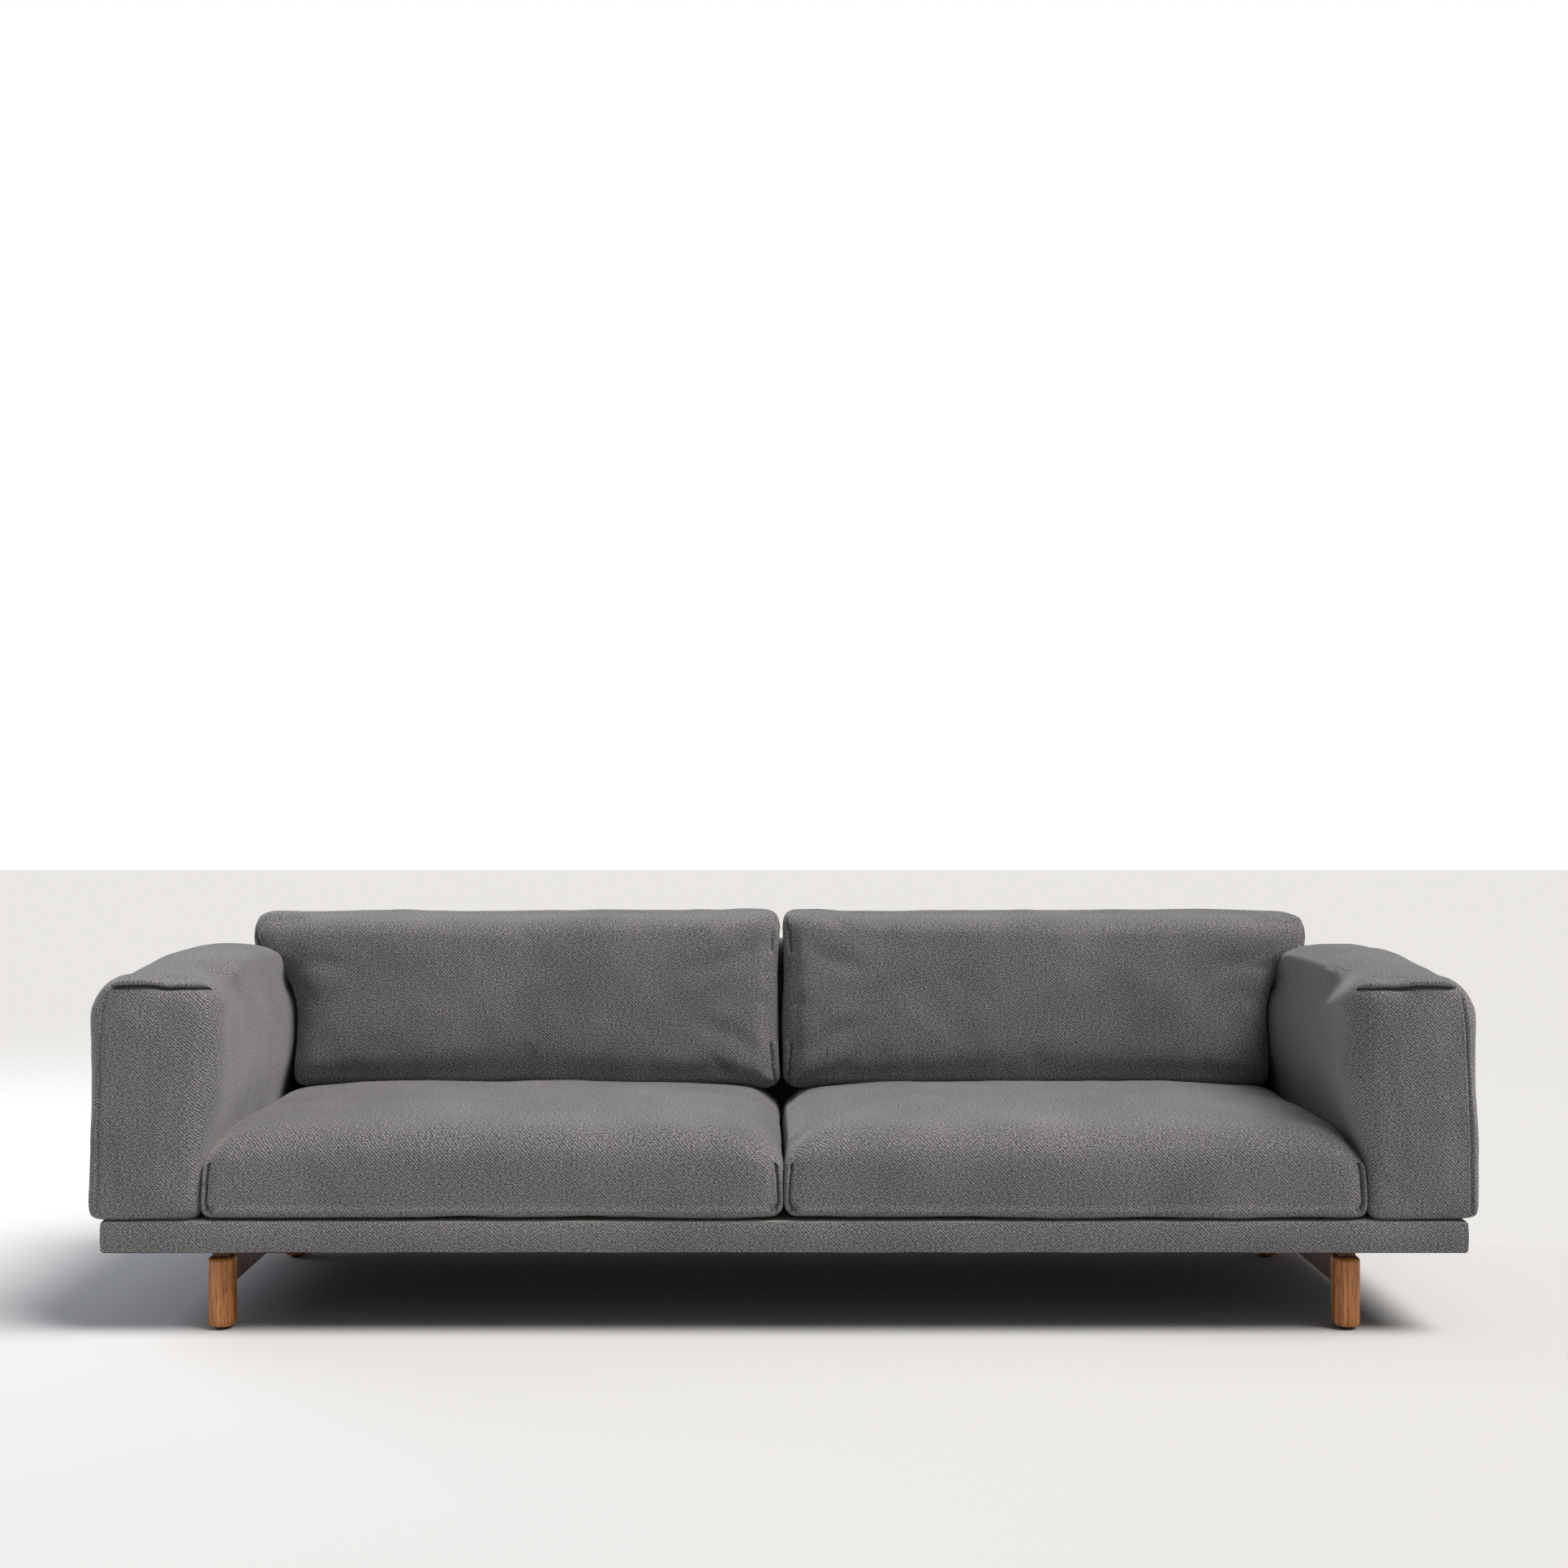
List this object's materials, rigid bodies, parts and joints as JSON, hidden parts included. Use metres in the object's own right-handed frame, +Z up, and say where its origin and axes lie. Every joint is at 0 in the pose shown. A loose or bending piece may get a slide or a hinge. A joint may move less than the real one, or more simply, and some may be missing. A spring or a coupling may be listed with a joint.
{
  "type": "sofa",
  "caption": "Three-seat sofa with padded arms, loose seat and back cushions in grey wool fabric, a slim upholstered base and short oak legs joined front to back by oak rails.",
  "frame": {"origin": "on the floor, at the middle of the sofa's width and depth", "axes": "+X to the right seen from the front, +Y to the back, +Z up"},
  "size_m": [2.6002, 0.925, 0.762],
  "materials": {
    "wool_fabric": "mid-grey wool-blend twill, matt, with a visible diagonal weave",
    "oiled_oak": "oiled oak, satin, upright grain on the legs and lengthways grain on the rails",
    "frame_timber": "planed softwood, unfinished",
    "beech": "fluted beech dowel, unfinished",
    "foam": "cut polyurethane foam and fibre filling",
    "webbing": "woven elastic webbing",
    "dust_cloth": "black non-woven cloth",
    "zip": "nylon coil zip on grey tape",
    "zinc_steel": "zinc-plated steel",
    "brass": "machined brass",
    "nylon": "moulded black nylon"
  },
  "bodies": {
    "sofa_frame": {"arm_bolts": "zinc_steel", "arm_bottom_rail_left": "frame_timber", "arm_bottom_rail_right": "frame_timber", "arm_cover_left": "wool_fabric", "arm_cover_right": "wool_fabric", "arm_foam_left": "foam", "arm_foam_right": "foam", "arm_front_post_left": "frame_timber", "arm_front_post_right": "frame_timber", "arm_panels_left": "frame_timber", "arm_panels_right": "frame_timber", "arm_rear_post_left": "frame_timber", "arm_rear_post_right": "frame_timber", "arm_top_rail_left": "frame_timber", "arm_top_rail_right": "frame_timber", "back_bolts": "zinc_steel", "back_bottom_rail": "frame_timber", "back_centre_post": "frame_timber", "back_cover": "wool_fabric", "back_foam": "foam", "back_side_post_left": "frame_timber", "back_side_post_right": "frame_timber", "back_top_rail": "frame_timber", "back_webbing": "webbing", "base_bolts": "zinc_steel", "base_centre_rail": "frame_timber", "base_corner_blocks": "frame_timber", "base_cover": "wool_fabric", "base_end_rail_left": "frame_timber", "base_end_rail_right": "frame_timber", "base_front_rail": "frame_timber", "base_leg_rail_left": "frame_timber", "base_leg_rail_right": "frame_timber", "base_rear_rail": "frame_timber", "deck_foam": "foam", "deck_webbing": "webbing", "dust_cloth": "dust_cloth", "front_leg_left": "oiled_oak", "front_leg_right": "oiled_oak", "leg_dowels": "beech", "leg_glides": "nylon", "rear_leg_left": "oiled_oak", "rear_leg_right": "oiled_oak", "side_rail_left": "oiled_oak", "side_rail_right": "oiled_oak", "threaded_inserts": "brass"},
    "seat_cushion_left": {"seat_cushion_core_left": "foam", "seat_cushion_cover_left": "wool_fabric", "seat_cushion_zip_left": "zip"},
    "seat_cushion_right": {"seat_cushion_core_right": "foam", "seat_cushion_cover_right": "wool_fabric", "seat_cushion_zip_right": "zip"},
    "back_cushion_left": {"back_cushion_cover_left": "wool_fabric", "back_cushion_fill_left": "foam", "back_cushion_zip_left": "zip"},
    "back_cushion_right": {"back_cushion_cover_right": "wool_fabric", "back_cushion_fill_right": "foam", "back_cushion_zip_right": "zip"}
  },
  "joints": [
    {"name": "seat_cushion_left_slide", "type": "slide", "parent": "sofa_frame", "child": "seat_cushion_left", "axis": [0, -1, 0], "range_m": [0, 0.78]},
    {"name": "seat_cushion_right_slide", "type": "slide", "parent": "sofa_frame", "child": "seat_cushion_right", "axis": [0, -1, 0], "range_m": [0, 0.78]},
    {"name": "back_cushion_left_lift", "type": "slide", "parent": "sofa_frame", "child": "back_cushion_left", "axis": [0, 0, 1], "range_m": [0, 0.4]},
    {"name": "back_cushion_right_lift", "type": "slide", "parent": "sofa_frame", "child": "back_cushion_right", "axis": [0, 0, 1], "range_m": [0, 0.4]}
  ]
}
